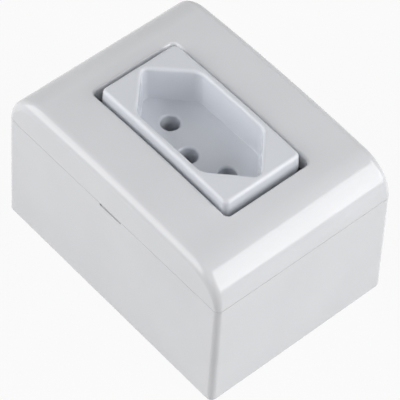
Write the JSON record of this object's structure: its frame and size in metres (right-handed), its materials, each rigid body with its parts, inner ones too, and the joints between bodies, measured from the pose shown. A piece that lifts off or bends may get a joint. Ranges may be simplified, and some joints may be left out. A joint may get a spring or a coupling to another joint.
{
  "type": "surface mounted socket",
  "caption": "White surface mounting box with a curved clip-on cover and a socket module whose six-sided recess takes a round-pin earthed plug.",
  "frame": {"origin": "centre of the box's back, the face that lies on the wall", "axes": "+X along the box's length and the row of the outer pin holes, +Y across the box away from the earth hole, +Z out of the wall through the socket's face"},
  "size_m": [0.0704, 0.051, 0.044],
  "materials": {
    "white_abs": "white moulded ABS, glossy",
    "grey_polyamide": "grey moulded polyamide",
    "brass": "stamped brass",
    "spring_steel": "spring steel",
    "zinc_plated_steel": "zinc plated"
  },
  "bodies": {
    "root": {"base_box": "white_abs", "front_cover": "white_abs", "socket_face": "white_abs", "socket_rear_cover": "grey_polyamide", "support_frame": "grey_polyamide", "support_screw_left": "zinc_plated_steel", "support_screw_right": "zinc_plated_steel", "housing_screw_left": "zinc_plated_steel", "housing_screw_right": "zinc_plated_steel", "live_contact": "brass", "neutral_contact": "brass", "earth_contact": "brass", "live_spring_ring": "spring_steel", "neutral_spring_ring": "spring_steel", "earth_spring_ring": "spring_steel", "live_clamp": "brass", "neutral_clamp": "brass", "earth_clamp": "brass", "live_terminal_screw": "zinc_plated_steel", "neutral_terminal_screw": "zinc_plated_steel", "earth_terminal_screw": "zinc_plated_steel"}
  },
  "joints": []
}
